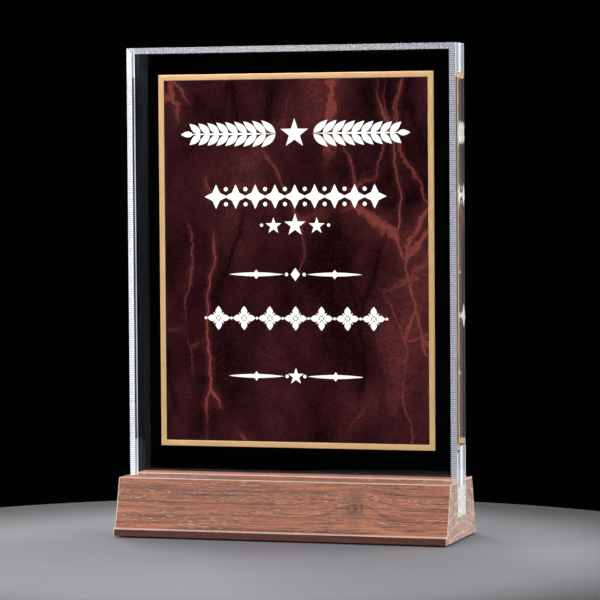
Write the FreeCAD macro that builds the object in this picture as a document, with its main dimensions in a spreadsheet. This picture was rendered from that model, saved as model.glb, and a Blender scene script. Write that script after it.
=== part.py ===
import FreeCAD, Part
import os

import Sketcher

# Stand-up award: a clear acrylic upright glued into a slot along a tapered walnut base bar.  A brass plate with
# a marble-pattern panel set into its front is bonded flat to the back of the upright, so that it is seen through
# the acrylic, and a felt pad lies under the base.
# Frame: +Z up, +X along the base, and the front of the award faces -Y.  The origin is the middle of the
# rectangle that the award stands on.  Millimetres.

DIMENSIONS = {
    # walnut base bar
    "base_length": 182.4,
    "base_height": 30.3,
    "top_depth": 45.8,
    "slope_foot_depth": 59.8,
    "slope_foot_height": 5.0,
    "plinth_depth": 65.4,
    "plinth_height": 3.7,
    "slot_width": 19.45,
    "slot_depth": 18.5,
    "base_arris": 0.5,
    # acrylic upright, cut from 3/4 inch sheet
    "sheet_width": 181.0,
    "sheet_thickness": 19.05,
    "sheet_height": 246.4,
    "sheet_shift": 0.55,
    "bevel_on_face": 3.2,
    "bevel_on_side": 0.95,
    "back_arris": 0.4,
    # glue between the slot and the foot of the upright
    "glue_floor": 0.6,
    "glue_below_top": 2.8,
    # brass plate, the panel in it and the clear film that bonds both to the upright
    "plate_width": 152.2,
    "plate_height": 199.2,
    "plate_thickness": 0.8,
    "plate_above_base": 15.1,
    "border_width": 2.95,
    "panel_thickness": 0.2,
    "panel_clearance": 0.35,
    "film_thickness": 0.1,
    # felt pad
    "felt_thickness": 1.0,
    "felt_inset": 2.5,
    "felt_corner": 4.0,
}
SHEET = "Dimensions"
PARTS_FOLDER = "parts"
TOLERANCE = 1e-4

# heights and depths that several sub-parts share
BASE_TOP = "felt_thickness + base_height"
SLOT_FLOOR = "felt_thickness + base_height - slot_depth"
SHEET_BACK = "sheet_thickness / 2"
PLATE_BOTTOM = "felt_thickness + base_height + plate_above_base"

document = FreeCAD.newDocument("StandUpAward")


def make_spreadsheet():
    """The driving dimensions, one named cell each."""
    sheet = document.addObject("Spreadsheet::Sheet", SHEET)
    for row, (name, value) in enumerate(DIMENSIONS.items(), start=1):
        sheet.set(f"A{row}", name)
        sheet.set(f"B{row}", str(value))
        sheet.setAlias(f"B{row}", name)
    document.recompute()


def on_sheet(formula):
    """A formula in the dimension names, written as an expression on the spreadsheet."""
    words = formula.replace("(", "( ").replace(")", " )").split()
    return " ".join(f"{SHEET}.{word}" if word in DIMENSIONS else word for word in words)


def value_of(formula):
    """The present value of a formula in the dimension names."""
    return float(document.getObject(SHEET).evalExpression(formula))


def bind(item, **formulas):
    """Ties properties of an object to formulas on the spreadsheet."""
    for name, formula in formulas.items():
        item.setExpression(name, on_sheet(formula))


def place(item, **formulas):
    """Ties x, y or z of an object's Placement to formulas on the spreadsheet."""
    for axis, formula in formulas.items():
        item.setExpression(f"Placement.Base.{axis}", on_sheet(formula))


def make_body(label):
    body = document.addObject("PartDesign::Body", label)
    body.Label = label
    return body


def make_sketch(body, name, role):
    """An empty sketch on one of the body's own origin planes."""
    plane = next(item for item in body.Origin.OriginFeatures if item.Role == role)
    sketch = body.newObject("Sketcher::SketchObject", name)
    sketch.AttachmentSupport = [(plane, "")]
    sketch.MapMode = "FlatFace"
    return sketch


def constrain(sketch, kind, *where):
    return sketch.addConstraint(Sketcher.Constraint(kind, *where))


def dimension(sketch, name, formula, kind, *where):
    """A named sketch dimension that follows the spreadsheet."""
    index = constrain(sketch, kind, *where, value_of(formula))
    sketch.renameConstraint(index, name)
    sketch.setExpression(f"Constraints.{name}", on_sheet(formula))


def draw_polygon(sketch, points):
    """A closed chain of straight lines: line number n starts at point number n."""
    corners = [FreeCAD.Vector(x, y, 0) for x, y in points]
    for start, end in zip(corners, corners[1:] + corners[:1]):
        sketch.addGeometry(Part.LineSegment(start, end), False)
    for index in range(len(corners)):
        constrain(sketch, "Coincident", index, 2, (index + 1) % len(corners), 1)


def draw_rectangle(sketch, width, height, low):
    """A level rectangle of two formulas, centred on the vertical axis, with its lower edge drawn at low."""
    half = value_of(width) / 2
    high = low + value_of(height)
    draw_polygon(sketch, [(-half, low), (half, low), (half, high), (-half, high)])
    constrain(sketch, "Vertical", 1)
    constrain(sketch, "Horizontal", 2)
    constrain(sketch, "Vertical", 3)
    dimension(sketch, "width", width, "DistanceX", 0, 1, 0, 2)
    dimension(sketch, "height", height, "DistanceY", 1, 1, 1, 2)


def standing_rectangle(body, name, role, width, height, bottom=None):
    """A rectangle centred left to right that stands on the horizontal axis, or on a height above it."""
    sketch = make_sketch(body, name, role)
    draw_rectangle(sketch, width, height, value_of(bottom) if bottom else 0.0)
    constrain(sketch, "Symmetric", 0, 1, 0, 2, -2)
    if bottom:
        dimension(sketch, "bottom", bottom, "DistanceY", -1, 1, 0, 1)
    else:
        constrain(sketch, "PointOnObject", 0, 1, -1)
    return sketch


def centred_rectangle(body, name, role, width, height):
    """A rectangle centred on the sketch's origin."""
    sketch = make_sketch(body, name, role)
    draw_rectangle(sketch, width, height, -value_of(height) / 2)
    constrain(sketch, "Horizontal", 0)
    constrain(sketch, "Symmetric", 0, 1, 1, 2, -1, 1)
    return sketch


def add_pad(body, sketch, name, length, symmetric=False):
    feature = body.newObject("PartDesign::Pad", name)
    feature.Profile = sketch
    feature.SideType = "Symmetric" if symmetric else "One side"
    bind(feature, Length=length)
    document.recompute()
    return feature


def add_pocket(body, sketch, name, length, symmetric=False):
    """A pocket, checked to have removed material."""
    before = body.Shape.Volume
    feature = body.newObject("PartDesign::Pocket", name)
    feature.Profile = sketch
    feature.SideType = "Symmetric" if symmetric else "One side"
    bind(feature, Length=length)
    document.recompute()
    require_less(body.Shape.Volume, before, name)
    return feature


def add_chamfer(body, base, name, edges, **sizes):
    """A chamfer of one size, or of two: the first on the face that FreeCAD takes first, unless flipped."""
    before = body.Shape.Volume
    feature = body.newObject("PartDesign::Chamfer", name)
    feature.Base = (base, edges)
    feature.ChamferType = "Two distances" if "Size2" in sizes else "Equal distance"
    bind(feature, **sizes)
    document.recompute()
    require_less(body.Shape.Volume, before, name)
    return feature


def require_less(volume, before, name):
    if volume > before - TOLERANCE:
        raise RuntimeError(f"{name} removed nothing")


def lies_at(edge, axis, value):
    """True where the whole of a straight edge has this coordinate on the axis."""
    return all(abs(getattr(corner.Point, axis) - value) < TOLERANCE for corner in edge.Vertexes)


def edges_where(feature, test):
    """The names of a feature's edges that pass a test."""
    return [f"Edge{number}" for number, edge in enumerate(feature.Shape.Edges, start=1) if test(edge)]


def make_walnut_base():
    """Bar with sloping front and back, a small ledge over an upright plinth edge, and a slot from end to end."""
    body = make_body("walnut_base")
    half_top = DIMENSIONS["top_depth"] / 2
    half_foot = DIMENSIONS["slope_foot_depth"] / 2
    half_plinth = DIMENSIONS["plinth_depth"] / 2
    back_edge = [
        (half_plinth, 0.0),
        (half_plinth, DIMENSIONS["plinth_height"]),
        (half_foot, DIMENSIONS["slope_foot_height"]),
        (half_top, DIMENSIONS["base_height"]),
    ]
    front_edge = [(-y, z) for y, z in reversed(back_edge)]
    section = make_sketch(body, "bar_section", "YZ_Plane")
    draw_polygon(section, back_edge + front_edge)
    constrain(section, "Vertical", 0)
    constrain(section, "Vertical", 6)
    constrain(section, "Horizontal", 7)
    constrain(section, "PointOnObject", 0, 1, -1)
    for back_line, front_line in ((0, 6), (1, 5), (2, 4)):
        constrain(section, "Symmetric", back_line, 2, front_line, 1, -2)
    dimension(section, "plinth_depth", "plinth_depth", "DistanceX", 6, 1, 0, 2)
    dimension(section, "plinth_height", "plinth_height", "DistanceY", 0, 1, 0, 2)
    dimension(section, "foot_depth", "slope_foot_depth", "DistanceX", 5, 1, 1, 2)
    dimension(section, "foot_height", "slope_foot_height", "DistanceY", 0, 1, 1, 2)
    dimension(section, "top_depth", "top_depth", "DistanceX", 4, 1, 2, 2)
    dimension(section, "bar_height", "base_height", "DistanceY", 0, 1, 2, 2)
    add_pad(body, section, "bar", "base_length", symmetric=True)

    slot_section = standing_rectangle(
        body, "slot_section", "YZ_Plane", "slot_width", "slot_depth", "base_height - slot_depth"
    )
    slot = add_pocket(body, slot_section, "slot", "base_length", symmetric=True)

    half_length = DIMENSIONS["base_length"] / 2
    half_slot = DIMENSIONS["slot_width"] / 2

    def is_eased(edge):
        """The long outer top edges, and each end's outline apart from its slot, plinth and underside."""
        on_end = lies_at(edge, "x", half_length) or lies_at(edge, "x", -half_length)
        on_plinth = lies_at(edge, "y", half_plinth) or lies_at(edge, "y", -half_plinth)
        in_slot = all(abs(corner.Point.y) < half_slot + TOLERANCE for corner in edge.Vertexes)
        long_top = lies_at(edge, "y", half_top) or lies_at(edge, "y", -half_top)
        return long_top or (on_end and not (on_plinth or in_slot or lies_at(edge, "z", 0.0)))

    add_chamfer(body, slot, "eased_edges", edges_where(slot, is_eased), Size="base_arris")
    place(body, z="felt_thickness")
    return body


def make_acrylic_upright():
    """Clear slab with a wide shallow bevel round its front face and a fine arris round its back face."""
    body = make_body("acrylic_upright")
    outline = standing_rectangle(body, "sheet_outline", "XZ_Plane", "sheet_width", "sheet_height")
    sheet = add_pad(body, outline, "sheet", "sheet_thickness", symmetric=True)
    half_thickness = DIMENSIONS["sheet_thickness"] / 2

    def on_front(edge):
        return lies_at(edge, "y", -half_thickness) and not lies_at(edge, "z", 0.0)

    def on_back(edge):
        return lies_at(edge, "y", half_thickness) and not lies_at(edge, "z", 0.0)

    bevel = add_chamfer(
        body, sheet, "front_bevel", edges_where(sheet, on_front), Size="bevel_on_face", Size2="bevel_on_side"
    )
    flat_width = DIMENSIONS["sheet_width"] - 2 * DIMENSIONS["bevel_on_face"]
    if abs(front_face_width(body, -half_thickness) - flat_width) > TOLERANCE:
        bevel.FlipDirection = True
        document.recompute()
    if abs(front_face_width(body, -half_thickness) - flat_width) > TOLERANCE:
        raise RuntimeError("front_bevel is the wrong way round")
    add_chamfer(body, bevel, "back_arris", edges_where(bevel, on_back), Size="back_arris")
    place(body, x="sheet_shift", z=SLOT_FLOOR + " + glue_floor")
    return body


def front_face_width(body, y):
    """The width of the flat face of a body that lies at this y."""
    faces = body.Shape.Faces
    flat = next(face for face in faces if all(abs(corner.Point.y - y) < TOLERANCE for corner in face.Vertexes))
    return flat.BoundBox.XLength


def make_box(name, size, corner):
    """A box from three formulas for its lengths and three for its lowest corner."""
    box = document.addObject("Part::Box", name)
    bind(box, Length=size[0], Width=size[1], Height=size[2])
    place(box, x=corner[0], y=corner[1], z=corner[2])
    box.Label = name
    return box


def make_slot_adhesive():
    """Thin trough of set glue between the slot's walls and floor and the foot of the upright."""
    depth = "slot_depth - glue_below_top"
    left = "sheet_shift - sheet_width / 2"
    fill = make_box(
        "glue_fill",
        ("sheet_width", "slot_width", depth),
        (left, "-1 * slot_width / 2", SLOT_FLOOR),
    )
    foot = make_box(
        "glue_foot_space",
        ("sheet_width", "sheet_thickness", depth),
        (left, "-1 * sheet_thickness / 2", SLOT_FLOOR + " + glue_floor"),
    )
    glue = document.addObject("Part::Cut", "slot_adhesive")
    glue.Base = fill
    glue.Tool = foot
    glue.Label = "slot_adhesive"
    return glue


def make_bonding_film():
    """Clear film that holds the plate to the back of the upright."""
    return make_box(
        "bonding_film",
        ("plate_width", "film_thickness", "plate_height"),
        ("-1 * plate_width / 2", SHEET_BACK, PLATE_BOTTOM),
    )


def make_brass_plate():
    """Brass plate, sunk inside its border to take the panel flush."""
    body = make_body("brass_plate")
    outline = standing_rectangle(body, "plate_outline", "XZ_Plane", "plate_width", "plate_height")
    add_pad(body, outline, "plate", "plate_thickness")
    recess_outline = standing_rectangle(
        body,
        "recess_outline",
        "XZ_Plane",
        "plate_width - 2 * border_width",
        "plate_height - 2 * border_width",
        "border_width",
    )
    recess_outline.setExpression("AttachmentOffset.Base.z", on_sheet("plate_thickness"))
    add_pocket(body, recess_outline, "recess", "panel_thickness")
    place(body, y=SHEET_BACK + " + film_thickness + plate_thickness", z=PLATE_BOTTOM)
    return body


def make_marble_panel():
    """Thin panel with a printed marble pattern, laid in the recess of the brass plate."""
    inset = "( border_width + panel_clearance )"
    return make_box(
        "marble_panel",
        (f"plate_width - 2 * {inset}", "panel_thickness", f"plate_height - 2 * {inset}"),
        (f"{inset} - plate_width / 2", SHEET_BACK + " + film_thickness", f"{PLATE_BOTTOM} + {inset}"),
    )


def make_felt_pad():
    """Felt sheet with rounded corners under the base."""
    body = make_body("felt_pad")
    outline = centred_rectangle(
        body, "felt_outline", "XY_Plane", "base_length - 2 * felt_inset", "plinth_depth - 2 * felt_inset"
    )
    sheet = add_pad(body, outline, "felt_sheet", "felt_thickness")

    def is_upright(edge):
        bottom, top = sorted(corner.Point.z for corner in edge.Vertexes)
        return top - bottom > TOLERANCE

    corners = body.newObject("PartDesign::Fillet", "felt_corners")
    corners.Base = (sheet, edges_where(sheet, is_upright))
    bind(corners, Radius="felt_corner")
    document.recompute()
    return body


def check(subparts):
    """Stops the build if any object has failed or any sub-part has no sound solid."""
    document.recompute()
    failed = [item.Name for item in document.Objects if {"Invalid", "Error"} & set(item.State)]
    if failed:
        raise RuntimeError(f"failed objects: {failed}")
    for subpart in subparts:
        shape = subpart.Shape
        if shape.isNull() or not shape.isValid() or not shape.Solids:
            raise RuntimeError(f"{subpart.Label} has no valid solid")


def export(subparts):
    """Writes each sub-part to a STEP file that carries its name."""
    os.makedirs(PARTS_FOLDER, exist_ok=True)
    for subpart in subparts:
        subpart.Shape.exportStep(f"{PARTS_FOLDER}/{subpart.Label}.step")
        box = subpart.Shape.BoundBox
        size = f"{box.XLength:.2f} x {box.YLength:.2f} x {box.ZLength:.2f}"
        print(f"{subpart.Label}: {size} mm, lowest z {box.ZMin:.2f}, {subpart.Shape.Volume / 1000:.2f} cm3")


make_spreadsheet()
award = [
    make_walnut_base(),
    make_acrylic_upright(),
    make_slot_adhesive(),
    make_bonding_film(),
    make_brass_plate(),
    make_marble_panel(),
    make_felt_pad(),
]
check(award)
export(award)
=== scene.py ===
"""A free-standing award: a clear acrylic upright in a walnut base, with a gold-edged marble plate behind it.

Every length is in metres, in the CAD frame: X to the right, Y to the back, Z up, the floor at 0.
"""

import math
import random

import bmesh
import bpy
from mathutils import Matrix, Vector


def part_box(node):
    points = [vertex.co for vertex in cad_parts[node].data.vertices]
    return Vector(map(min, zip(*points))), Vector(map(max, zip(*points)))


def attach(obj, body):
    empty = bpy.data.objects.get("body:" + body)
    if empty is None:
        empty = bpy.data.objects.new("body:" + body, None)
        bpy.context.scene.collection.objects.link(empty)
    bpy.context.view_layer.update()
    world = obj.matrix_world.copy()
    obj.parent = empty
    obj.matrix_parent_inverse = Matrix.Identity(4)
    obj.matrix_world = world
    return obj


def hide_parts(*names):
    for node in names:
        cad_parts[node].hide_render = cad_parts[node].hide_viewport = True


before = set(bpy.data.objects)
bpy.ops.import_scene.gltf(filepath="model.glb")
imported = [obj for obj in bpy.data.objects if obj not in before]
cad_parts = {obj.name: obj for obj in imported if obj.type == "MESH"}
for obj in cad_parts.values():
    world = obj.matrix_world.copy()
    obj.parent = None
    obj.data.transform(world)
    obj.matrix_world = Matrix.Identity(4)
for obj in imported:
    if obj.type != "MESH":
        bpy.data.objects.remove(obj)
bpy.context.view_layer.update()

MM = 0.001

# Boxes of the CAD nodes, which every piece is placed from.
SLAB_LOW, SLAB_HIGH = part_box("acrylic_upright")
BASE_LOW, BASE_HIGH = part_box("walnut_base")
GLUE_LOW, GLUE_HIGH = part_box("slot_adhesive")
BRASS_LOW, BRASS_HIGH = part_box("brass_plate")
MARBLE_LOW, MARBLE_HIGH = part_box("marble_panel")
FELT_LOW, FELT_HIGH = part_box("felt_pad")

# Upright: a bevel on the front face's left, top and right edges, and a small arris on the back.
BEVEL_ON_FACE = 3.2 * MM
BEVEL_ON_SIDE = 0.95 * MM
BACK_ARRIS = 0.4 * MM
RIB_PITCH = 1.15 * MM

# Base: its section above the flat underside.
TOP_DEPTH = 45.8 * MM
SLOPE_FOOT_DEPTH = 59.8 * MM
SLOPE_FOOT_HEIGHT = 5.0 * MM
PLINTH_HEIGHT = 3.7 * MM
BASE_ARRIS = 0.5 * MM
LIP_ARRIS = 0.22 * MM
ARRIS_SEGMENTS = 3

# How strongly the arrises and the ledges carry a painted highlight of pale wood, from 0 to 1.
ARRIS_PAINTED_HIGHLIGHT = 0.5
LEDGE_PAINTED_HIGHLIGHT = 0.45

# The back and front ledges, as sides of the section counted from its first corner.
LEDGE_SIDES = (1, 9)

# Plate layers. The bond is optically clear, so they sit a hair inside the upright, with no air between.
BOND_DEPTH = 0.065 * MM
PLATE_FRONT = SLAB_HIGH.y - BOND_DEPTH
PRINT_FRONT = PLATE_FRONT - 0.02 * MM
PRINT_BACK = PLATE_FRONT + 0.01 * MM
INK_STEP = 0.003 * MM
FILM_FRONT = PLATE_FRONT - 0.08 * MM
FILM_BACK = PLATE_FRONT - 0.03 * MM
BORDER_WIDTH = 2.95 * MM
RECESS_DEPTH = 0.2 * MM

# Felt: its corners, how far its edge is rounded and set in, and how ragged it is.
FELT_CORNER = 4.0 * MM
FELT_EDGE = 0.25 * MM
FELT_INSET = 0.12 * MM
FELT_RAGGED = 0.08 * MM

# Camera of the photograph.
CAMERA_PLACE = (0.4794, -1.5596, 0.1969)
CAMERA_YAW = 16.973
CAMERA_DOWN = 2.512
CAMERA_ROLL = -0.397
CAMERA_LENS = 184.7
SENSOR_WIDTH = 36.0


# ---------------------------------------------------------------- materials
# Texture scales are features to the metre, bump heights are in metres, and colours are linear.


class Look:
    """A procedural material: adds nodes, links sockets, and ends in a surface."""

    def __init__(self, name):
        self.material = bpy.data.materials.new(name)
        self.material.use_nodes = True
        self.tree = self.material.node_tree
        self.tree.nodes.clear()
        self.place = self.add("TexCoord").outputs["Object"]

    def put(self, socket, value):
        """Links the socket to another node's, or sets its constant. Every colour is opaque."""
        if isinstance(value, bpy.types.NodeSocket):
            self.tree.links.new(value, socket)
        elif socket.type == "RGBA":
            socket.default_value = (*value, 1.0)
        else:
            socket.default_value = value

    def add(self, kind, inputs=None, **settings):
        """A node with its settings, whose inputs are constants or other nodes' sockets."""
        node = self.tree.nodes.new("ShaderNode" + kind)
        for key, value in settings.items():
            setattr(node, key, value)
        for key, value in (inputs or {}).items():
            self.put(node.inputs[key], value)
        return node

    def maths(self, operation, first, second=0.0, third=0.0, clamp=False):
        inputs = {0: first, 1: second, 2: third}
        return self.add("Math", inputs, operation=operation, use_clamp=clamp).outputs[0]

    def vector(self, operation, first, second=(0.0, 0.0, 0.0)):
        node = self.add("VectorMath", {0: first, 1: second}, operation=operation)
        return node.outputs["Value" if operation == "LENGTH" else "Vector"]

    def along(self, axis, vector=None):
        """One coordinate of a vector, which is the place unless another is given."""
        return self.add("SeparateXYZ", {0: vector or self.place}).outputs[axis]

    def scaled(self, per_metre, place=None, turn=(0.0, 0.0, 0.0), shift=(0.0, 0.0, 0.0)):
        """Texture coordinates with that many units to the metre: one number, or one for each axis."""
        if isinstance(per_metre, float):
            per_metre = (per_metre,) * 3
        inputs = {"Vector": place or self.place, "Scale": per_metre, "Rotation": turn, "Location": shift}
        return self.add("Mapping", inputs).outputs["Vector"]

    def noise(self, place, detail=2.0, roughness=0.5, output="Fac"):
        inputs = {"Vector": place, "Scale": 1.0, "Detail": detail, "Roughness": roughness}
        return self.add("TexNoise", inputs).outputs[output]

    def warped(self, place, per_metre, reach):
        """The place, pushed about by soft noise by up to that reach."""
        push = self.noise(self.scaled(per_metre, place), 3.0, 0.5, "Color")
        centred = self.vector("SUBTRACT", push, (0.5, 0.5, 0.5))
        return self.vector("ADD", place, self.vector("MULTIPLY", centred, (reach,) * 3))

    def ramp(self, value, stops, smooth=False):
        """Colours or greys at positions from 0 to 1."""
        node = self.add("ValToRGB", {"Fac": value})
        node.color_ramp.interpolation = "EASE" if smooth else "LINEAR"
        elements = node.color_ramp.elements
        while len(elements) < len(stops):
            elements.new(1.0)
        for element, (position, colour) in zip(elements, stops):
            element.position = position
            element.color = (*colour, 1.0) if isinstance(colour, tuple) else (colour, colour, colour, 1.0)
        return node.outputs["Color"]

    def blend(self, share, first, second):
        """The first colour, turning to the second as the share goes to 1."""
        return self.add("Mix", {0: share, 6: first, 7: second}, data_type="RGBA").outputs[2]

    def bump(self, height, distance, strength):
        inputs = {"Height": height, "Distance": distance, "Strength": strength}
        return self.add("Bump", inputs).outputs["Normal"]

    def principled(self, **inputs):
        """Principled BSDF: base_color stands for Base Color, and so on."""
        named = {key.replace("_", " ").title().replace("Ior", "IOR"): value for key, value in inputs.items()}
        return self.add("BsdfPrincipled", named).outputs[0]

    def mix(self, share, first, second):
        """The first shader, turning to the second as the share goes to 1."""
        return self.add("MixShader", {0: share, 1: first, 2: second}).outputs[0]

    def lets_light_by(self, shader, tint):
        """The shader as it is seen, but clear to shadow rays and to light bounced off matt things."""
        clear = self.add("BsdfTransparent", {"Color": tint}).outputs[0]
        path = self.add("LightPath")
        for ray in ("Is Shadow Ray", "Is Diffuse Ray"):
            shader = self.mix(path.outputs[ray], shader, clear)
        return shader

    def surface(self, shader):
        self.add("OutputMaterial", {"Surface": shader})
        return self.material


# Acrylic. The plate is bonded to it with no air between, so the plate's own layers have no gloss.
WHITE = (1.0, 1.0, 1.0)
CLEAR_TINT = (0.985, 0.99, 0.99)
ACRYLIC_IOR = 1.49
BONDED_GLOSS = 0.0
SAWN_ROUGHNESS = 0.05
BEVEL_ROUGHNESS = 0.12

# Share of frost on the sawn sides: at a glance, faced squarely, and in the stripes of painted reflection past
# the plate's ends.
POLISHED_HAZE = 0.09
SQUARE_ON_FROST = 0.85
STRIPE_SHARE = 0.78
STRIPE_FADE = 0.8 * MM
STRIPES_RISE = 3.0 * MM
STRIPES_DROP = 0.9 * MM
STRIPE_GREY = (0.34, 0.40, 0.49)
STRIPE_PALE = (0.97, 0.98, 1.0)

# The bevels' ribs, painted light then dark: a painted highlight and painted shade across each rib. The top
# bevel catches more of the studio light, so its copy is painted darker as painted shade.
SIDE_RIBS = ((0.86, 0.92, 1.0), (0.17, 0.20, 0.26))
TOP_RIBS = ((0.115, 0.155, 0.225), (0.06, 0.08, 0.12))

# Painted shade on the foot's own bevels, which lie in shade in the slot beside the walnut.
NOTCH_PAINTED_SHADE = (0.22, 0.14, 0.11)


def acrylic_glass(look, roughness, **more):
    return look.principled(
        base_color=WHITE, roughness=roughness, ior=ACRYLIC_IOR, transmission_weight=1.0, **more
    )


def polished_acrylic():
    """A polished face: clear, with a trace of haze here and there."""
    look = Look("polished_acrylic")
    cloud = look.noise(look.scaled(260.0), 4.0, 0.7)
    haze = look.ramp(cloud, ((0.0, 0.0), (0.72, 0.0), (0.9, 0.02)))
    return look.surface(look.lets_light_by(acrylic_glass(look, haze), CLEAR_TINT))


def satin_frost(look, colour, roughness, normal):
    """Frost that shows the light on it from either side of the face."""
    lit_in_front = look.principled(base_color=colour, roughness=roughness, normal=normal)
    lit_from_behind = look.add("BsdfTranslucent", {"Color": colour, "Normal": normal}).outputs[0]
    return look.mix(0.5, lit_in_front, lit_from_behind)


def past_the_plate(look, depth):
    """From 0 level with the plate to 1 above and below it, where the stripes are.

    They start where the reflected plate ends: level with it at the front, and a little inside it behind.
    """
    behind = look.ramp(depth, ((0.25, 0.0), (0.40, 1.0)))
    low_line = look.maths("MULTIPLY_ADD", behind, STRIPES_RISE, BRASS_LOW.z + STRIPE_FADE)
    high_line = look.maths("MULTIPLY_ADD", behind, -STRIPES_DROP, BRASS_HIGH.z - STRIPE_FADE)
    height = look.along("Z")
    below = look.maths("SUBTRACT", low_line, height)
    above = look.maths("SUBTRACT", height, high_line)
    return look.maths("DIVIDE", look.maths("MAXIMUM", below, above), STRIPE_FADE, clamp=True)


def sawn_acrylic():
    """A side of the sheet: sawn, then part polished. Clear at a glance, and satin when it is faced squarely.

    Past each end of the plate, total reflection folds the far edge over and over; the pale stripes there are
    a painted reflection of it.
    """
    look = Look("sawn_acrylic")
    saw_marks = look.noise(look.scaled((2600.0, 2600.0, 120.0)), 3.0, 0.6)
    normal = look.bump(saw_marks, 0.004 * MM, 0.5)
    glass = acrylic_glass(look, SAWN_ROUGHNESS, normal=normal)

    depth = look.maths("SUBTRACT", look.along("Y"), SLAB_LOW.y)
    depth = look.maths("DIVIDE", depth, SLAB_HIGH.y - SLAB_LOW.y)
    # Painted reflection: pale and grey stripes across the side's depth, standing for the folded far edge.
    stripes = look.ramp(
        depth,
        (
            (0.10, STRIPE_PALE),
            (0.15, STRIPE_GREY),
            (0.36, STRIPE_GREY),
            (0.41, STRIPE_PALE),
            (0.62, STRIPE_PALE),
            (0.68, STRIPE_GREY),
            (0.92, STRIPE_GREY),
            (0.96, STRIPE_PALE),
        ),
    )
    streak = look.noise(look.scaled((1400.0, 1400.0, 25.0)), 3.0, 0.6)
    fine_lines = look.ramp(streak, ((0.38, 0.55), (0.56, 1.0)))
    frost = satin_frost(look, look.vector("MULTIPLY", stripes, fine_lines), 0.4, normal)

    facing = look.add("LayerWeight", {"Blend": 0.5}).outputs["Facing"]
    squareness = look.maths("POWER", look.maths("SUBTRACT", 1.0, facing, clamp=True), 2.2)
    satin = look.maths("MULTIPLY", squareness, SQUARE_ON_FROST)
    satin = look.maths("MAXIMUM", satin, POLISHED_HAZE)
    striped = look.maths("MULTIPLY", past_the_plate(look, depth), STRIPE_SHARE)
    mixed = look.mix(look.maths("MAXIMUM", satin, striped), glass, frost)
    return look.surface(look.lets_light_by(mixed, CLEAR_TINT))


def bevelled_acrylic(name, rib_axis, rib_painted_highlight, rib_painted_shade_and_speck):
    """Machine-cut and half polished: glass with fine cutter ribs across it and a satin frost."""
    look = Look(name)
    phase = look.maths("MULTIPLY", look.along(rib_axis), 2.0 * math.pi / RIB_PITCH)
    drift = look.maths("MULTIPLY", look.noise(look.scaled(90.0), 3.0), 5.0)
    rib = look.maths("SINE", look.maths("ADD", phase, drift))
    rib_share = look.maths("MULTIPLY_ADD", rib, 0.5, 0.5)
    scratch = look.noise(look.scaled((1500.0, 1500.0, 900.0)), 3.0, 0.6)
    height = look.maths("ADD", rib_share, look.maths("MULTIPLY", scratch, 0.35))
    normal = look.bump(height, 0.02 * MM, 0.7)
    glass = acrylic_glass(look, BEVEL_ROUGHNESS, normal=normal)

    speck = look.noise(look.scaled(2100.0), 2.0, 0.6)
    # Painted highlight and painted shade: the frost's colour runs light to dark across each rib.
    colour = look.blend(rib_share, rib_painted_highlight, rib_painted_shade_and_speck)
    colour = look.blend(look.ramp(speck, ((0.40, 0.4), (0.50, 0.0))), colour, rib_painted_shade_and_speck)
    colour = look.blend(look.ramp(speck, ((0.57, 0.0), (0.66, 0.6))), colour, (0.95, 0.97, 1.0))
    frost = look.principled(base_color=colour, roughness=0.3, normal=normal)
    share = look.maths("MULTIPLY_ADD", look.maths("MULTIPLY", scratch, rib_share), 0.3, 0.62)
    return look.surface(look.lets_light_by(look.mix(share, glass, frost), CLEAR_TINT))


def frosted_acrylic(name, tone):
    """The foot in the slot: sawn, unpolished and wet with adhesive; the tone darkens it, and on the notch's
    bevels it is painted shade.
    """
    look = Look(name)
    cloud = look.noise(look.scaled((700.0, 700.0, 500.0)), 5.0, 0.7)
    colour = look.ramp(
        cloud,
        ((0.36, (0.50, 0.47, 0.46)), (0.5, (0.76, 0.73, 0.72)), (0.64, (0.95, 0.93, 0.92))),
    )
    colour = look.vector("MULTIPLY", colour, tone)
    normal = look.bump(cloud, 0.15 * MM, 0.8)
    return look.surface(look.principled(base_color=colour, roughness=0.42, normal=normal))


def set_glue():
    look = Look("set_glue")
    cloud = look.noise(look.scaled((700.0, 700.0, 450.0)), 4.0, 0.6)
    colour = look.ramp(cloud, ((0.3, (0.72, 0.68, 0.61)), (0.7, (0.90, 0.88, 0.84))))
    normal = look.bump(cloud, 0.1 * MM, 0.6)
    return look.surface(look.principled(base_color=colour, roughness=0.35, normal=normal))


def clear_film():
    look = Look("clear_film")
    return look.surface(look.add("BsdfTransparent", {"Color": (0.995, 0.993, 0.988)}).outputs[0])


def gold_border(name, tone, roughness):
    """Gold lacquer, seen through the bond: a soft metal with a faint cloud and grain."""
    look = Look(name)
    grain = look.noise(look.scaled(900.0), 4.0, 0.6)
    cloud = look.noise(look.scaled(60.0), 2.0)
    dark = tuple(0.88 * channel for channel in tone)
    colour = look.blend(cloud, dark, tone)
    normal = look.bump(grain, 0.01 * MM, 0.5)
    gloss = {"metallic": 0.3, "roughness": roughness, "specular_ior_level": BONDED_GLOSS}
    return look.surface(look.principled(base_color=colour, normal=normal, **gloss))


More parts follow.
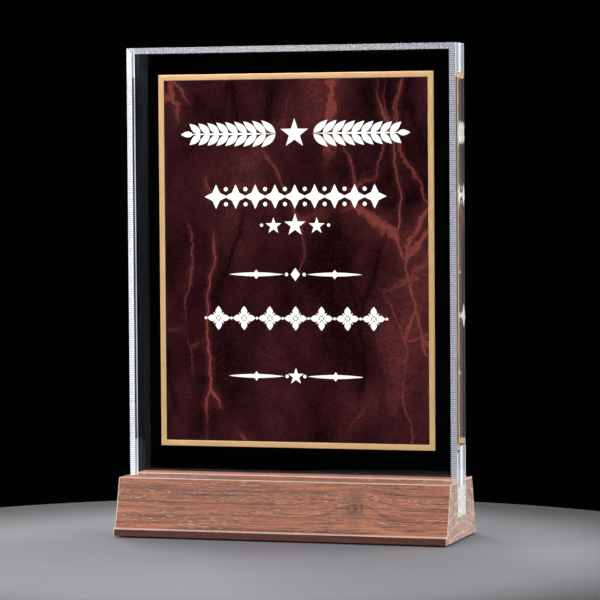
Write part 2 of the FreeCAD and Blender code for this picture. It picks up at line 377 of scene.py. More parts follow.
def brushed_brass():
    """The plate's bare back: brushed along its height, with a few deeper scratches."""
    look = Look("brushed_brass")
    brushing = look.noise(look.scaled((2400.0, 2400.0, 22.0)), 4.0, 0.75)
    cloud = look.noise(look.scaled((18.0, 18.0, 14.0)), 3.0, 0.55)
    tarnish = look.blend(cloud, (0.66, 0.43, 0.16), (0.90, 0.66, 0.31))
    streak = look.ramp(brushing, ((0.36, 0.35), (0.64, 1.0)))
    colour = look.blend(streak, (0.33, 0.20, 0.07), tarnish)
    slanted = look.scaled((1500.0, 1500.0, 9.0), turn=(0.0, 0.35, 0.0), shift=(4.0, 0.0, 2.0))
    scratch = look.noise(slanted, 2.0, 0.5)
    colour = look.blend(look.ramp(scratch, ((0.68, 0.0), (0.73, 0.7))), colour, (0.92, 0.76, 0.44))
    roughness = look.maths("MULTIPLY_ADD", brushing, 0.22, 0.24)
    normal = look.bump(brushing, 0.02 * MM, 0.5)
    return look.surface(look.principled(base_color=colour, metallic=0.55, roughness=roughness, normal=normal))


def shadow_line():
    """The narrow gap round the marble panel, coloured near black."""
    look = Look("shadow_line")
    grain = look.noise(look.scaled(800.0), 2.0)
    colour = look.blend(grain, (0.006, 0.003, 0.003), (0.016, 0.007, 0.006))
    return look.surface(look.principled(base_color=colour, roughness=0.6))


# Each net of veins: turn, cells to the metre, line and halo width in cells, strength, how rarely it shows,
# the halo's colour and the line's.
VEIN_GLOW = (0.088, 0.020, 0.020)
VEIN_RED = (0.225, 0.050, 0.042)
CREASE = (0.0035, 0.0007, 0.0014)
VEINS = (
    (-1.05, 15.0, 0.022, 0.09, 0.75, 0.40, CREASE, CREASE),
    (0.40, 19.0, 0.015, 0.07, 0.85, 0.44, VEIN_GLOW, VEIN_RED),
    (-0.42, 26.0, 0.012, 0.04, 0.55, 0.50, VEIN_GLOW, VEIN_RED),
)
VEIN_CELL_STRETCH = 0.36


def marble_print():
    """A printed red-brown marble: clouded ground, dark patches, and thin meandering veins that fork."""
    look = Look("marble_print")
    soft = look.warped(look.place, 17.0, 20.0 * MM)
    fine = look.warped(look.warped(soft, 150.0, 4.0 * MM), 520.0, 1.5 * MM)

    cloud = look.noise(look.scaled((21.0, 21.0, 14.0), soft, (0.0, 0.6, 0.0)), 8.0, 0.6)
    ground = look.ramp(
        cloud,
        (
            (0.36, (0.0045, 0.0008, 0.0018)),
            (0.46, (0.0200, 0.0043, 0.0065)),
            (0.57, (0.0400, 0.0088, 0.0118)),
            (0.70, (0.1000, 0.0230, 0.0245)),
        ),
    )
    mottle = look.noise(look.scaled((260.0, 260.0, 480.0), fine), 4.0, 0.65)
    ground = look.blend(look.ramp(mottle, ((0.38, 0.45), (0.56, 0.0))), ground, (0.014, 0.0034, 0.0050))

    for turn, per_metre, thick, halo, strength, rarity, glow_colour, line_colour in VEINS:
        net = (per_metre, per_metre, per_metre * VEIN_CELL_STRETCH)
        cells = look.scaled(net, fine, (0.0, turn, 0.0), (3.1 + turn, 0.0, 1.7))
        edge = look.add("TexVoronoi", {"Vector": cells, "Scale": 1.0}, feature="DISTANCE_TO_EDGE").outputs[0]
        shown = look.noise(look.scaled((17.0, 17.0, 13.0), shift=(7.3, 1.9, 4.1 + turn)), 2.0)
        shown = look.ramp(shown, ((rarity, 0.0), (rarity + 0.12, strength)), smooth=True)
        glow = look.ramp(edge, ((0.0, 0.55), (halo, 0.0)), smooth=True)
        line = look.ramp(edge, ((0.0, 1.0), (0.4 * thick, 0.8), (thick, 0.0)), smooth=True)
        ground = look.blend(look.maths("MULTIPLY", glow, shown), ground, glow_colour)
        ground = look.blend(look.maths("MULTIPLY", line, shown), ground, line_colour)

    dots = look.noise(look.scaled(1500.0), 2.0, 0.5)
    ground = look.blend(look.ramp(dots, ((0.36, 0.45), (0.5, 0.0))), ground, (0.010, 0.0020, 0.0035))
    ground = look.blend(look.ramp(dots, ((0.55, 0.0), (0.7, 0.30))), ground, (0.120, 0.036, 0.036))
    return look.surface(look.principled(base_color=ground, roughness=0.5, specular_ior_level=BONDED_GLOSS))


def white_enamel():
    look = Look("white_enamel")
    grain = look.noise(look.scaled(1400.0), 3.0, 0.6)
    colour = look.blend(grain, (0.84, 0.83, 0.82), (0.95, 0.95, 0.94))
    return look.surface(look.principled(base_color=colour, roughness=0.5, specular_ior_level=BONDED_GLOSS))


def black_felt():
    look = Look("black_felt")
    fibre = look.noise(look.scaled(2600.0), 5.0, 0.7)
    clump = look.noise(look.scaled(420.0), 3.0, 0.6)
    colour = look.blend(fibre, (0.006, 0.006, 0.007), (0.045, 0.044, 0.046))
    normal = look.bump(look.maths("ADD", fibre, clump), 0.3 * MM, 0.9)
    cloth = {"roughness": 0.95, "sheen_weight": 0.4, "sheen_roughness": 0.5}
    return look.surface(look.principled(base_color=colour, normal=normal, **cloth))


# The tree: its pith lies along X under the base, and its rings are counted from one just below the slot.
PITH = (0.0, -3.4 * MM, -59.7 * MM)
RING_SPACING = 5.9 * MM
RING_AT_END = 70.3 * MM
RING_WAVE = 6.0 * MM
KNOT = (40.5 * MM, -27.5 * MM, 18.5 * MM)
KNOT_REACH = 8.0 * MM
KNOT_PUSH = 7.0 * MM

# A face whose normal leans towards X by more than this shows end grain.
END_GRAIN_FROM = 0.6


def knot_nearness(look, from_knot):
    """From 0 far from the knot to 1 at its middle, drawn out along the grain and into the wood."""
    far = look.vector("LENGTH", look.vector("MULTIPLY", from_knot, (0.5, 0.55, 1.0)))
    far_squared = look.maths("POWER", far, 2.0)
    return look.maths("EXPONENT", look.maths("MULTIPLY", far_squared, -1.0 / KNOT_REACH**2))


def ring_turn(look, bent, knot_near):
    """How far through its year the wood is, from 0 to 1, with the rings bent round the knot."""
    from_pith = look.vector("SUBTRACT", bent, PITH)
    radius = look.vector("LENGTH", look.vector("MULTIPLY", from_pith, (0.0, 1.0, 1.0)))
    radius = look.maths("SUBTRACT", radius, RING_AT_END)
    radius = look.maths("SUBTRACT", radius, look.maths("MULTIPLY", knot_near, KNOT_PUSH))
    return look.maths("FRACT", look.maths("DIVIDE", radius, RING_SPACING))


def side_grain(look, bent, fibre, turn):
    """The colour along the grain before pores and knot: tone, fibres and late wood."""
    tone = look.noise(look.scaled((9.0, 90.0, 90.0), bent), 4.0, 0.6)
    colour = look.ramp(
        tone,
        ((0.30, (0.205, 0.061, 0.028)), (0.5, (0.275, 0.090, 0.043)), (0.70, (0.335, 0.120, 0.060))),
    )
    colour = look.blend(look.ramp(fibre, ((0.40, 0.95), (0.48, 0.0))), colour, (0.065, 0.020, 0.013))
    colour = look.blend(look.ramp(fibre, ((0.54, 0.0), (0.68, 0.55))), colour, (0.430, 0.175, 0.095))
    late_wood = look.ramp(
        turn,
        (
            (0.0, 0.9),
            (0.07, 0.1),
            (0.30, 0.0),
            (0.46, 0.55),
            (0.50, 0.1),
            (0.86, 0.3),
            (0.97, 1.0),
            (1.0, 0.9),
        ),
    )
    return look.blend(look.maths("MULTIPLY", late_wood, 0.75), colour, (0.085, 0.026, 0.017))


def knotted(look, colour, from_knot, knot_near):
    """The colour with the knot's soft shade and its dark, broken core."""
    core = look.maths("POWER", knot_near, 7.0)
    broken = look.ramp(look.noise(look.scaled(480.0), 3.0, 0.6), ((0.47, 0.0), (0.57, 1.0)))
    shade_far = look.vector("LENGTH", look.vector("MULTIPLY", from_knot, (1.15, 0.4, 0.5)))
    shade = look.ramp(look.maths("DIVIDE", shade_far, KNOT_REACH), ((0.15, 0.6), (1.0, 0.0)), smooth=True)
    colour = look.blend(shade, colour, (0.120, 0.046, 0.030))
    return look.blend(look.maths("MULTIPLY", core, broken), colour, (0.020, 0.012, 0.012))


def end_grain(look, turn):
    """The colour of a sawn end: mottled tone, pale broken rings, pores and flecks. Its tone is paler than the
    side grain: painted light, for the strong lamp light on the ends.
    """
    tone = look.noise(look.scaled((40.0, 260.0, 260.0)), 6.0, 0.7)
    colour = look.ramp(
        tone,
        ((0.36, (0.270, 0.140, 0.105)), (0.5, (0.440, 0.270, 0.215)), (0.64, (0.620, 0.430, 0.370))),
    )
    line = look.ramp(turn, ((0.86, 0.0), (0.93, 1.0), (1.0, 0.0)))
    broken = look.ramp(look.noise(look.scaled((30.0, 160.0, 160.0)), 3.0, 0.6), ((0.38, 0.25), (0.55, 1.0)))
    colour = look.blend(look.maths("MULTIPLY", line, broken), colour, (0.900, 0.760, 0.700))
    pore = look.noise(look.scaled((700.0, 1300.0, 1300.0)), 2.0, 0.5)
    colour = look.blend(look.ramp(pore, ((0.57, 0.0), (0.64, 0.9))), colour, (0.110, 0.078, 0.085))
    fleck = look.noise(look.scaled((700.0, 1500.0, 1500.0), shift=(2.0, 8.0, 5.0)), 2.0, 0.5)
    return look.blend(look.ramp(fleck, ((0.57, 0.0), (0.64, 0.8))), colour, (0.800, 0.660, 0.600))


def walnut(name, painted_highlight=0.0, highlight_ends_at=None):
    """Solid walnut: rings about the pith, fibres, pores, flecks and one small knot, with sawn ends.

    A painted highlight turns it towards pale wood along an arris, on a ledge only as far up as the height
    given.
    """
    look = Look(name)
    waves = look.noise(look.scaled((11.0, 34.0, 34.0)), 3.0, 0.5, "Color")
    waves = look.vector("SUBTRACT", waves, (0.5, 0.5, 0.5))
    bent = look.vector("ADD", look.place, look.vector("MULTIPLY", waves, (0.0, RING_WAVE, RING_WAVE)))
    from_knot = look.vector("SUBTRACT", look.place, KNOT)
    knot_near = knot_nearness(look, from_knot)
    turn = ring_turn(look, bent, knot_near)
    fibre = look.noise(look.scaled((20.0, 1500.0, 1500.0), bent), 4.0, 0.7)
    colour = side_grain(look, bent, fibre, turn)

    # Dark pores and pale flecks, which crowd together in some patches.
    patch = look.noise(look.scaled((16.0, 150.0, 150.0), bent), 3.0, 0.5)
    rich = look.ramp(patch, ((0.40, 0.35), (0.58, 1.0)))
    pore = look.noise(look.scaled((210.0, 2300.0, 2300.0), bent), 2.0, 0.5)
    pore_share = look.maths("MULTIPLY", look.ramp(pore, ((0.59, 0.0), (0.63, 1.0))), rich)
    colour = look.blend(pore_share, colour, (0.060, 0.042, 0.048))
    fleck = look.noise(look.scaled((260.0, 2700.0, 2700.0), bent, shift=(5.0, 3.0, 9.0)), 2.0, 0.5)
    fleck_share = look.maths("MULTIPLY", look.ramp(fleck, ((0.61, 0.0), (0.69, 0.6))), rich)
    colour = look.blend(fleck_share, colour, (0.660, 0.430, 0.340))
    colour = knotted(look, colour, from_knot, knot_near)

    # Painted shade: the plinth's upright edge is darkened, for the shade it stands in under light from above.
    height = look.maths("DIVIDE", look.along("Z"), BASE_LOW.z + PLINTH_HEIGHT + BASE_ARRIS)
    plinth_painted_shade = look.ramp(height, ((0.90, 0.82), (0.97, 0.0)))
    colour = look.blend(plinth_painted_shade, colour, (0.050, 0.014, 0.012))

    # Sawn ends: their own grain, in a paler tone that is painted light.
    facing = look.along("X", look.add("NewGeometry").outputs["True Normal"])
    end_share = look.maths("GREATER_THAN", look.maths("ABSOLUTE", facing), END_GRAIN_FROM)
    colour = look.blend(end_share, colour, end_grain(look, turn))

    # Painted highlight: pale wood along the arrises and the ledge.
    if painted_highlight:
        highlight_colour = look.blend(fibre, (0.58, 0.42, 0.37), (0.86, 0.71, 0.65))
        if highlight_ends_at:
            up = look.maths("DIVIDE", look.along("Z"), highlight_ends_at)
            painted_highlight = look.ramp(up, ((0.82, painted_highlight), (0.92, 0.0)))
        colour = look.blend(painted_highlight, colour, highlight_colour)
    relief = look.maths("SUBTRACT", fibre, look.maths("MULTIPLY", pore_share, 1.5))
    normal = look.bump(relief, 0.05 * MM, 0.6)
    roughness = look.maths("MULTIPLY_ADD", fibre, 0.2, 0.34)
    return look.surface(
        look.principled(base_color=colour, roughness=roughness, specular_ior_level=0.22, normal=normal)
    )


FLOOR_RADIUS = 0.265
FLOOR_MIDDLE = (0.0, -0.08, 0.0)


def floor_paper():
    """Mid-grey paper, painted darker towards its edge: painted shade where the light falls off into the dark
    backdrop.
    """
    look = Look("floor_paper")
    tooth = look.noise(look.scaled(900.0), 4.0, 0.6)
    cloud = look.noise(look.scaled(9.0), 3.0, 0.5)
    share = look.maths("MULTIPLY", look.maths("ADD", tooth, cloud), 0.5)
    colour = look.blend(share, (0.088, 0.088, 0.098), (0.140, 0.138, 0.154))
    # Painted shade: the paper darkens to near black towards its edge.
    from_middle = look.vector("LENGTH", look.vector("SUBTRACT", look.place, FLOOR_MIDDLE))
    edge = look.maths("DIVIDE", from_middle, FLOOR_RADIUS)
    fade = look.ramp(edge, ((0.58, 0.0), (0.98, 1.0)), smooth=True)
    colour = look.blend(fade, colour, (0.002, 0.002, 0.002))
    normal = look.bump(tooth, 0.05 * MM, 0.5)
    return look.surface(look.principled(base_color=colour, roughness=0.8, normal=normal))


# ---------------------------------------------------------------- mesh tools


def piece_from(bm, name, materials, replaced, smooth_over=None):
    """The mesh as a named piece on the one body, standing for its CAD nodes."""
    bmesh.ops.recalc_face_normals(bm, faces=bm.faces)
    mesh = bpy.data.meshes.new(name)
    bm.to_mesh(mesh)
    bm.free()
    for material in materials:
        mesh.materials.append(material)
    piece = bpy.data.objects.new(name, mesh)
    bpy.context.scene.collection.objects.link(piece)
    if smooth_over is not None:
        mesh.shade_smooth()
        mesh.set_sharp_from_angle(angle=math.radians(smooth_over))
        piece.modifiers.new("flat_faces_first", "WEIGHTED_NORMAL").keep_sharp = True
    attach(piece, "root")
    if replaced:
        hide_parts(*replaced)
    return piece


def ring_of(bm, points, y):
    """Vertices of an outline of (x, z) points in the plane at y."""
    return [bm.verts.new((x, y, z)) for x, z in points]


def band(bm, first, second, material=0):
    """Quads between two rings with the same number of vertices."""
    faces = []
    for index, corner in enumerate(first):
        following = (index + 1) % len(first)
        face = bm.faces.new((corner, first[following], second[following], second[index]))
        face.material_index = material
        faces.append(face)
    return faces


def cap(bm, ring, material=0):
    face = bm.faces.new(ring)
    face.material_index = material
    return face


def skin(bm, rings):
    """A closed skin through the rings in turn, capped at the first and the last."""
    cap(bm, rings[0])
    for first, second in zip(rings, rings[1:]):
        band(bm, first, second)
    cap(bm, rings[-1])


def bar(bm, section, low_x, high_x):
    """A (y, z) section drawn out along X and capped at both ends. Gives back its sides."""
    ends = [[bm.verts.new((x, y, z)) for y, z in section] for x in (low_x, high_x)]
    for ring in ends:
        cap(bm, ring)
    return band(bm, *ends)


def rectangle(low, high, inset=0.0):
    """Corners of a box's (x, z) outline, moved in by the inset."""
    left, right = low.x + inset, high.x - inset
    bottom, top = low.z + inset, high.z - inset
    return [(left, bottom), (right, bottom), (right, top), (left, top)]


# ---------------------------------------------------------------- pieces


def make_upright():
    """The acrylic slab: bevelled front edges, arrised back edges, and a frosted foot below the glue line."""
    frost_line = GLUE_HIGH.z

    def outline(inset):
        left, right, top = SLAB_LOW.x + inset, SLAB_HIGH.x - inset, SLAB_HIGH.z - inset
        return [
            (left, SLAB_LOW.z),
            (right, SLAB_LOW.z),
            (right, frost_line),
            (right, top),
            (left, top),
            (left, frost_line),
        ]

    polished, side_bevel, top_bevel, frosted, sawn, painted_shade_notch = range(6)
    bottom_edge, right_foot, right_edge, top_edge, left_edge, left_foot = range(6)
    bm = bmesh.new()
    rings = [
        ring_of(bm, outline(inset), y)
        for inset, y in (
            (BEVEL_ON_FACE, SLAB_LOW.y),
            (0.0, SLAB_LOW.y + BEVEL_ON_SIDE),
            (0.0, SLAB_HIGH.y - BACK_ARRIS),
            (BACK_ARRIS, SLAB_HIGH.y),
        )
    ]
    for first, second in zip(rings, rings[1:]):
        faces = band(bm, first, second, polished)
        for edge in (bottom_edge, right_foot, left_foot):
            faces[edge].material_index = frosted
        if first is rings[0]:
            faces[right_foot].material_index = painted_shade_notch
            faces[left_foot].material_index = painted_shade_notch
            faces[top_edge].material_index = top_bevel
            faces[right_edge].material_index = side_bevel
            faces[left_edge].material_index = side_bevel
        else:
            for edge in (top_edge, right_edge, left_edge):
                faces[edge].material_index = sawn
    for ring in (rings[0], rings[-1]):
        low_left, low_right, foot_right, high_right, high_left, foot_left = ring
        cap(bm, (low_left, low_right, foot_right, foot_left), frosted)
        cap(bm, (foot_left, foot_right, high_right, high_left), polished)
    materials = [
        polished_acrylic(),
        bevelled_acrylic("side_bevel_acrylic", "Z", *SIDE_RIBS),
        bevelled_acrylic("top_bevel_acrylic", "X", *TOP_RIBS),
        frosted_acrylic("frosted_acrylic", WHITE),
        sawn_acrylic(),
        frosted_acrylic("notch_painted_shade", NOTCH_PAINTED_SHADE),
    ]
    return piece_from(bm, "upright_slab", materials, ["acrylic_upright"])


def base_section():
    """The base's (y, z) outline, anticlockwise seen from the right, slot included."""
    foot_z = BASE_LOW.z + SLOPE_FOOT_HEIGHT
    plinth_z = BASE_LOW.z + PLINTH_HEIGHT
    half_slot = GLUE_HIGH.y
    right_half = [
        (BASE_HIGH.y, BASE_LOW.z),
        (BASE_HIGH.y, plinth_z),
        (SLOPE_FOOT_DEPTH / 2, foot_z),
        (TOP_DEPTH / 2, BASE_HIGH.z),
        (half_slot, BASE_HIGH.z),
        (half_slot, GLUE_LOW.z),
    ]
    return right_half + [(-y, z) for y, z in reversed(right_half)]


def make_base():
    """The walnut bar: outside arrises, the plinth's lip and the bottom edge are eased to small rounds."""
    plain, arris, ledge = range(3)
    near = 0.3 * MM
    lip_z = BASE_LOW.z + PLINTH_HEIGHT
    ledge_z = BASE_LOW.z + SLOPE_FOOT_HEIGHT
    bm = bmesh.new()
    sides = bar(bm, base_section(), BASE_LOW.x, BASE_HIGH.x)
    for number in LEDGE_SIDES:
        sides[number].material_index = ledge
    bmesh.ops.recalc_face_normals(bm, faces=bm.faces)

    def ease(size, material, chosen):
        bmesh.ops.bevel(
            bm,
            geom=[edge for edge in bm.edges if chosen(edge, (edge.verts[0].co + edge.verts[1].co) / 2)],
            offset=size,
            segments=ARRIS_SEGMENTS,
            profile=0.5,
            affect="EDGES",
            clamp_overlap=True,
            material=material,
        )

    def is_long(edge):
        return abs(edge.verts[0].co.x - edge.verts[1].co.x) > BASE_HIGH.x

    def is_lip(edge, middle):
        return is_long(edge) and abs(middle.z - lip_z) < near

    def is_bottom(edge, middle):
        return is_long(edge) and abs(middle.z - BASE_LOW.z) < near

    def is_arris(edge, middle):
        in_slot = abs(middle.y) < GLUE_HIGH.y + near and middle.z < BASE_HIGH.z - BASE_ARRIS
        at_end_foot = not is_long(edge) and middle.z < BASE_LOW.z + near
        low = is_long(edge) and middle.z < ledge_z + near
        return not in_slot and not at_end_foot and not low

    ease(BASE_ARRIS, arris, is_arris)
    ease(LIP_ARRIS, arris, is_lip)
    ease(LIP_ARRIS, plain, is_bottom)
    materials = [
        walnut("walnut"),
        walnut("walnut_arris", ARRIS_PAINTED_HIGHLIGHT),
        walnut("walnut_ledge", LEDGE_PAINTED_HIGHLIGHT, highlight_ends_at=ledge_z),
    ]
    return piece_from(bm, "walnut_bar", materials, ["walnut_base"], smooth_over=35.0)


def make_glue():
    """The thin bed of set adhesive round the foot, and the little in the bevel's notch at each end."""
    clearance = 0.03 * MM
    sag = 0.3 * MM
    notch_gap = 0.1 * MM
    wall_out = GLUE_HIGH.y - clearance
    wall_in = SLAB_HIGH.y + clearance
    floor_low = GLUE_LOW.z + clearance
    floor_high = SLAB_LOW.z - clearance
    section = [
        (wall_out, floor_low),
        (wall_out, GLUE_HIGH.z),
        (wall_in, GLUE_HIGH.z - sag),
        (wall_in, floor_high),
    ]
    section = section + [(-y, z) for y, z in reversed(section)]
    bm = bmesh.new()
    bar(bm, section, GLUE_LOW.x, GLUE_HIGH.x)
    for side, end_x in ((-1, GLUE_LOW.x), (1, GLUE_HIGH.x)):
        inner_x = end_x - side * (BEVEL_ON_FACE - notch_gap)
        outer_x = end_x - side * clearance
        # The notch's three corners, and how high the glue has crept at each.
        plan = [
            (inner_x, -wall_out, 1.6 * MM),
            (outer_x, -wall_out, 3.4 * MM),
            (outer_x, -wall_in + BEVEL_ON_SIDE, 2.4 * MM),
        ]
        low = [bm.verts.new((x, y, floor_low)) for x, y, _ in plan]
        high = [bm.verts.new((x, y, floor_low + height)) for x, y, height in plan]
        skin(bm, [low, high])
    return piece_from(bm, "adhesive_bed", [set_glue()], ["slot_adhesive"])


def make_film():
    """The clear film, just inside the plate's outline."""
    outline = rectangle(BRASS_LOW, BRASS_HIGH, 0.05 * MM)
    bm = bmesh.new()
    skin(bm, [ring_of(bm, outline, y) for y in (FILM_FRONT, FILM_BACK)])
    return piece_from(bm, "clear_bond_film", [clear_film()], ["bonding_film"])


def make_plate():
    """The brass plate: gold border with two fine bright lines, a painted highlight on its edge bevels, dark
    recess, brushed back.
    """
    border_arris = 0.38 * MM
    border_drop = 0.05 * MM
    back_arris = 0.12 * MM
    gold, bright, dark, brushed = range(4)
    bm = bmesh.new()
    # Each ring's inset and depth, and the material of the band that leads to it.
    steps = [
        (BORDER_WIDTH, PLATE_FRONT + RECESS_DEPTH, None),
        (BORDER_WIDTH, PLATE_FRONT + border_drop, dark),
        (BORDER_WIDTH - border_arris, PLATE_FRONT, bright),
        (border_arris, PLATE_FRONT, gold),
        (0.0, PLATE_FRONT + border_drop, bright),
        (0.0, BRASS_HIGH.y - back_arris, brushed),
        (back_arris, BRASS_HIGH.y, brushed),
    ]
    rings = [ring_of(bm, rectangle(BRASS_LOW, BRASS_HIGH, inset), y) for inset, y, _ in steps]
    cap(bm, rings[0], dark)
    for number in range(1, len(rings)):
        band(bm, rings[number - 1], rings[number], steps[number][2])
    cap(bm, rings[-1], brushed)
    materials = [
        gold_border("gold_border", (0.535, 0.340, 0.175), 0.42),
        # Painted highlight: the border's edge bevels are painted a lighter gold.
        gold_border("gold_border_edge_highlight", (0.58, 0.380, 0.200), 0.3),
        shadow_line(),
        brushed_brass(),
    ]
    return piece_from(bm, "gold_edged_plate", materials, ["brass_plate"])


def make_marble():
    """The marble panel in the plate's recess, with a small bevel round its front."""
    edge = 0.12 * MM
    bm = bmesh.new()
    steps = (
        (edge, PLATE_FRONT),
        (0.0, PLATE_FRONT + 0.03 * MM),
        (0.0, PLATE_FRONT + RECESS_DEPTH - 0.01 * MM),
    )
    skin(bm, [ring_of(bm, rectangle(MARBLE_LOW, MARBLE_HIGH, inset), y) for inset, y in steps])
    return piece_from(bm, "marble_sheet", [marble_print()], ["marble_panel"])


# ---------------------------------------------------------------- ornament


def star(radius, points=5, waist=0.4):
    """A star's outline about the origin, one point up."""
    outline = []
    for number in range(2 * points):
        reach = radius if number % 2 == 0 else radius * waist
        angle = math.pi / 2 + number * math.pi / points
        outline.append((reach * math.cos(angle), reach * math.sin(angle)))
    return outline


def leaf(length, width, angle, steps=7):
    """A pointed leaf that grows from the origin at an angle in degrees, fullest just before its middle."""
    turn = math.radians(angle)
    upper = []
    for number in range(1, steps):
        share = number / steps
        half = width / 2 * math.sin(math.pi * share**0.85)
        upper.append((share * length, half))
    flat = [(0.0, 0.0), *upper, (length, 0.0), *[(x, -z) for x, z in reversed(upper)]]
    across, up = math.cos(turn), math.sin(turn)
    return [(x * across - z * up, x * up + z * across) for x, z in flat]


def moved_out(outline, reach, angle):
    """The outline, moved from the origin by that reach at an angle in degrees."""
    turn = math.radians(angle)
    return [(x + reach * math.cos(turn), z + reach * math.sin(turn)) for x, z in outline]


def bead(radius, sides=16):
    angles = [2 * math.pi * number / sides for number in range(sides)]
    return [(radius * math.cos(angle), radius * math.sin(angle)) for angle in angles]


def lozenge(width, height):
    return [(-width / 2, 0.0), (0.0, -height / 2), (width / 2, 0.0), (0.0, height / 2)]


def tapered_rule(length, thickness, steps=10):
    """A rule that swells in its middle and runs out to a point at each end."""
    upper = []
    for number in range(1, steps):
        share = number / steps
        upper.append((length * (share - 0.5), thickness / 2 * math.sin(math.pi * share) ** 0.8))
    return [(-length / 2, 0.0), *[(x, -z) for x, z in upper], (length / 2, 0.0), *reversed(upper)]


def stamp(bm, outline, x, z, layer=0):
    """Prints one outline at a place on the plate as a thin raised island of enamel.

    Outlines that cross are on different layers, so no two faces lie in one plane.
    """
    points = [(x + along, z + up) for along, up in outline]
    skin(bm, [ring_of(bm, points, y) for y in (PRINT_FRONT - layer * INK_STEP, PRINT_BACK)])


def stamp_pair(bm, outline, x, z, layer=0):
    """An outline to the right of the middle, and its mirror image to the left."""
    stamp(bm, outline, x, z, layer)
    stamp(bm, [(-along, up) for along, up in reversed(outline)], -x, z, layer)


def laurel_row(bm, z):
    """Two laurel sprays that spread from a star."""
    leaves = 9
    first = 10.5 * MM
    pitch = 5.25 * MM
    stamp(bm, star(8.0 * MM), 0.0, z)
    stamp_pair(bm, tapered_rule(54 * MM, 1.1 * MM), 36.5 * MM, z, 2)
    for number in range(leaves):
        x = first + number * pitch
        length = (10.4 - 0.28 * number) * MM
        for angle, up in ((41, 0.3 * MM), (-41, -0.3 * MM)):
            stamp_pair(bm, leaf(length, 3.7 * MM, angle), x, z + up, number % 2)
    stamp_pair(bm, leaf(7.0 * MM, 3.2 * MM, 0), first + leaves * pitch - 1.2 * MM, z, 1)


def lozenge_row(bm, z, width, height):
    """Four-pointed stars in a row, with beads between them."""
    count = 4
    pitch = width / (2 * count + 1)
    four_points = star(height / 2, 4, 0.46)
    stamp(bm, four_points, 0.0, z)
    for number in range(1, count + 1):
        x = number * pitch
        stamp_pair(bm, four_points, x, z, number % 2)
        for up in (-4.0 * MM, 4.0 * MM):
            stamp_pair(bm, bead(1.15 * MM), x - pitch / 2, z + up)


def star_row(bm, z):
    stamp(bm, star(6.2 * MM), 0.0, z)
    stamp_pair(bm, star(4.6 * MM), 12.0 * MM, z - 0.4 * MM)
    stamp_pair(bm, bead(0.9 * MM), 18.6 * MM, z)


def rule_row(bm, z, width, middle):
    """A tapered rule each side of a middle outline."""
    gap = 6.5 * MM
    length = width / 2 - gap
    stamp(bm, middle, 0.0, z)
    stamp_pair(bm, tapered_rule(length, 2.1 * MM), gap + length / 2, z)
    stamp_pair(bm, lozenge(4.2 * MM, 5.0 * MM), gap + length / 2, z, 1)
    stamp_pair(bm, bead(0.95 * MM), gap - 1.6 * MM, z)


def flower_row(bm, z, width):
    """Four-petalled flowers in a row, joined by beads."""
    count = 3
    pitch = width / (2 * count + 1.1)
    for number in range(count + 1):
        x = number * pitch
        place = stamp_pair if number else stamp
        for angle in (0, 90, 180, 270):
            place(bm, moved_out(leaf(5.2 * MM, 3.6 * MM, angle), 1.2 * MM, angle), x, z)
        place(bm, bead(0.95 * MM), x, z, 2)
        for angle in (45, 135, 225, 315):
            place(bm, moved_out(leaf(3.6 * MM, 1.2 * MM, angle), 0.6 * MM, angle), x, z, 1)
        if number:
            stamp_pair(bm, bead(0.75 * MM), x - pitch / 2, z)
    stamp_pair(bm, bead(0.75 * MM), (count + 0.5) * pitch, z)


def make_ornament():
    """White printed ornament in place of the photograph's wording: generic shapes, one row for each line."""
    middle = (BRASS_LOW.z + BRASS_HIGH.z) / 2
    bm = bmesh.new()
    laurel_row(bm, middle + 67.6 * MM)
    lozenge_row(bm, middle + 34.2 * MM, 99 * MM, 13.0 * MM)
    star_row(bm, middle + 19.0 * MM)
    rule_row(bm, middle - 7.2 * MM, 74 * MM, lozenge(5.2 * MM, 7.0 * MM))
    flower_row(bm, middle - 30.6 * MM, 102 * MM)
    rule_row(bm, middle - 61.5 * MM, 75 * MM, star(4.6 * MM))
    return piece_from(bm, "printed_ornament", [white_enamel()], [])


# ---------------------------------------------------------------- felt


def rounded_outline(low, high, radius, inset, arc_steps=8, side_steps=(60, 22)):
    """Points round a rectangle with round corners, close enough together to carry a fuzzy edge."""
    corners = (
        (high.x - radius, high.y - radius, 0),
        (low.x + radius, high.y - radius, 90),
        (low.x + radius, low.y + radius, 180),
        (high.x - radius, low.y + radius, 270),
    )
    reach = radius - inset
    points = []
    for number, (x, y, start) in enumerate(corners):
        for step in range(arc_steps + 1):
            angle = math.radians(start + 90 * step / arc_steps)
            points.append(Vector((x + reach * math.cos(angle), y + reach * math.sin(angle))))
        next_x, next_y, next_start = corners[(number + 1) % 4]
        turn = math.radians(next_start)
        goal = Vector((next_x + reach * math.cos(turn), next_y + reach * math.sin(turn)))
        start_point = points[-1].copy()
        steps = side_steps[number % 2]
        for step in range(1, steps):
            points.append(start_point.lerp(goal, step / steps))
    return points


def make_felt():
    """The felt under the base, a soft sheet with a slightly ragged edge."""
    fuzz = random.Random(11)
    bm = bmesh.new()
    rings = []
    for inset, share in ((FELT_EDGE, 0.0), (0.0, 0.35), (0.0, 0.7), (FELT_EDGE / 2, 1.0)):
        z = FELT_LOW.z + share * (FELT_HIGH.z - FELT_LOW.z)
        outline = rounded_outline(FELT_LOW, FELT_HIGH, FELT_CORNER, inset + FELT_INSET)
        ring = []
        for point in outline:
            ragged = point * (1.0 + fuzz.uniform(-1.0, 1.0) * FELT_RAGGED / point.length)
            ring.append(bm.verts.new((ragged.x, ragged.y, z)))
        rings.append(ring)
    skin(bm, rings)
    felt = piece_from(bm, "felt_sheet", [black_felt()], ["felt_pad"], smooth_over=60.0)
    return felt


# ---------------------------------------------------------------- studio


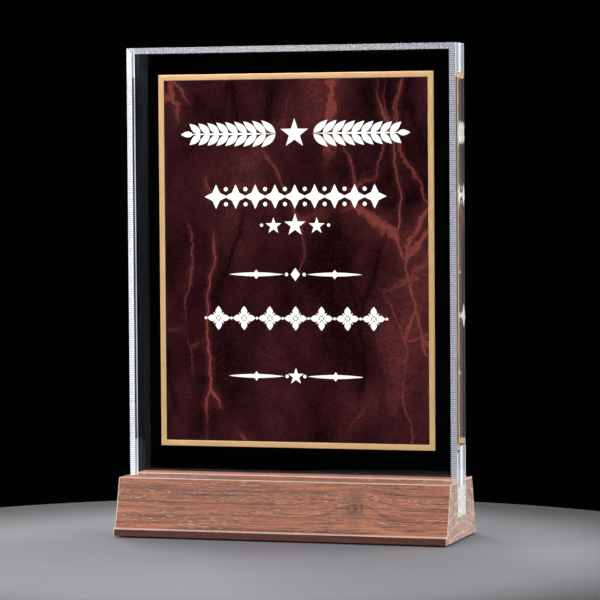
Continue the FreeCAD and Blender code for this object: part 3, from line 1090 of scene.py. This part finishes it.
def make_floor():
    """A round of grey paper under and around the award."""
    bm = bmesh.new()
    cap(bm, [bm.verts.new((x, y + FLOOR_MIDDLE[1], 0.0)) for x, y in bead(FLOOR_RADIUS, sides=160)])
    mesh = bpy.data.meshes.new("floor")
    bm.to_mesh(mesh)
    bm.free()
    mesh.materials.append(floor_paper())
    floor = bpy.data.objects.new("floor", mesh)
    bpy.context.scene.collection.objects.link(floor)


def soft_box(name, place, aim, size, watts, colour=WHITE):
    """A rectangular area light that faces the aim."""
    light = bpy.data.lights.new(name, "AREA")
    light.shape = "RECTANGLE"
    light.size, light.size_y = size
    light.energy = watts
    light.color = colour
    lamp = bpy.data.objects.new(name, light)
    lamp.location = place
    lamp.rotation_euler = (Vector(aim) - Vector(place)).to_track_quat("-Z", "Y").to_euler()
    bpy.context.scene.collection.objects.link(lamp)


def make_lights():
    middle = (0.0, 0.0, 0.13)
    low = (0.0, 0.0, 0.1)
    soft_box("key", (-0.62, -1.35, 0.95), middle, (0.8, 0.8), 24.0, (1.0, 0.97, 0.94))
    soft_box("left", (-1.15, -0.50, 0.30), middle, (0.5, 0.9), 20.0)
    soft_box("right", (1.25, -0.30, 0.50), middle, (0.5, 0.8), 15.0)
    soft_box("top", (0.05, 0.34, 1.20), low, (0.8, 0.6), 15.0)
    soft_box("rear_left", (-0.95, 1.15, 0.85), middle, (0.6, 0.6), 12.0)
    soft_box("rear_right", (0.95, 1.15, 0.85), middle, (0.6, 0.6), 12.0)


def make_world():
    """Almost black, like the photograph's backdrop."""
    world = bpy.data.worlds.new("studio_dark")
    world.use_nodes = True
    world.node_tree.nodes["Background"].inputs["Color"].default_value = (0.0006, 0.0007, 0.0009, 1.0)
    bpy.context.scene.world = world
    bpy.context.scene.view_settings.view_transform = "Standard"


def make_camera():
    data = bpy.data.cameras.new("camera")
    data.sensor_width = SENSOR_WIDTH
    data.lens = CAMERA_LENS
    data.clip_start, data.clip_end = 0.05, 20.0
    camera = bpy.data.objects.new("camera", data)
    turn = Matrix.Rotation(math.radians(CAMERA_YAW), 4, "Z")
    tilt = Matrix.Rotation(math.radians(90.0 - CAMERA_DOWN), 4, "X")
    roll = Matrix.Rotation(math.radians(CAMERA_ROLL), 4, "Z")
    camera.matrix_world = Matrix.Translation(CAMERA_PLACE) @ turn @ tilt @ roll
    bpy.context.scene.collection.objects.link(camera)
    bpy.context.scene.camera = camera


make_camera()
make_world()
make_upright()
make_base()
make_glue()
make_film()
make_plate()
make_marble()
make_ornament()
make_felt()
make_floor()
make_lights()
